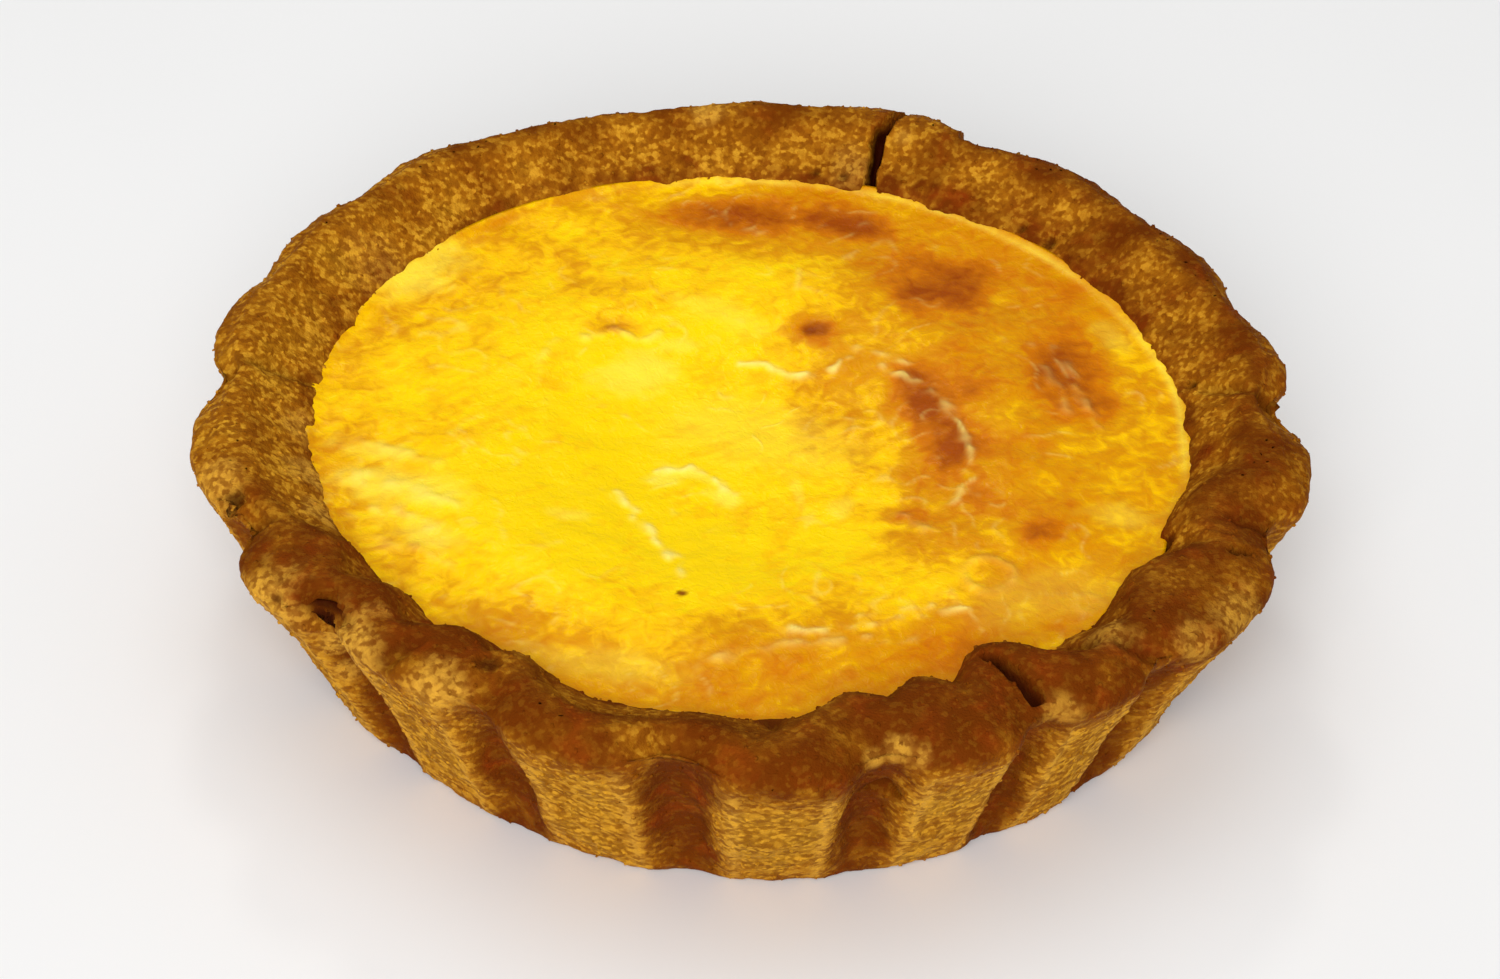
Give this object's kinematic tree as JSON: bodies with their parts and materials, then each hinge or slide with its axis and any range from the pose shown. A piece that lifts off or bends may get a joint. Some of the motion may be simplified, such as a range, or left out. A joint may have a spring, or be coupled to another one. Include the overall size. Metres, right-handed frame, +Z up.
{
  "type": "flan tart",
  "caption": "Small round custard tart: a fluted, hand-pressed shortcrust case with a folded, cracked rim, filled with baked egg custard.",
  "frame": {"origin": "on the flat base, under the middle of the tart's overall width and depth", "axes": "+Z up, out of the custard; -Y is the side with the deepest thumb folds; +X to the right of that side"},
  "size_m": [0.08, 0.0805, 0.0184],
  "materials": {
    "crust": "baked shortcrust, dry and grainy, golden with a dark brown rim",
    "custard": "baked egg custard, glossy yellow skin with toasted orange patches"
  },
  "bodies": {
    "root": {"crust": "crust", "custard": "custard"}
  },
  "joints": []
}
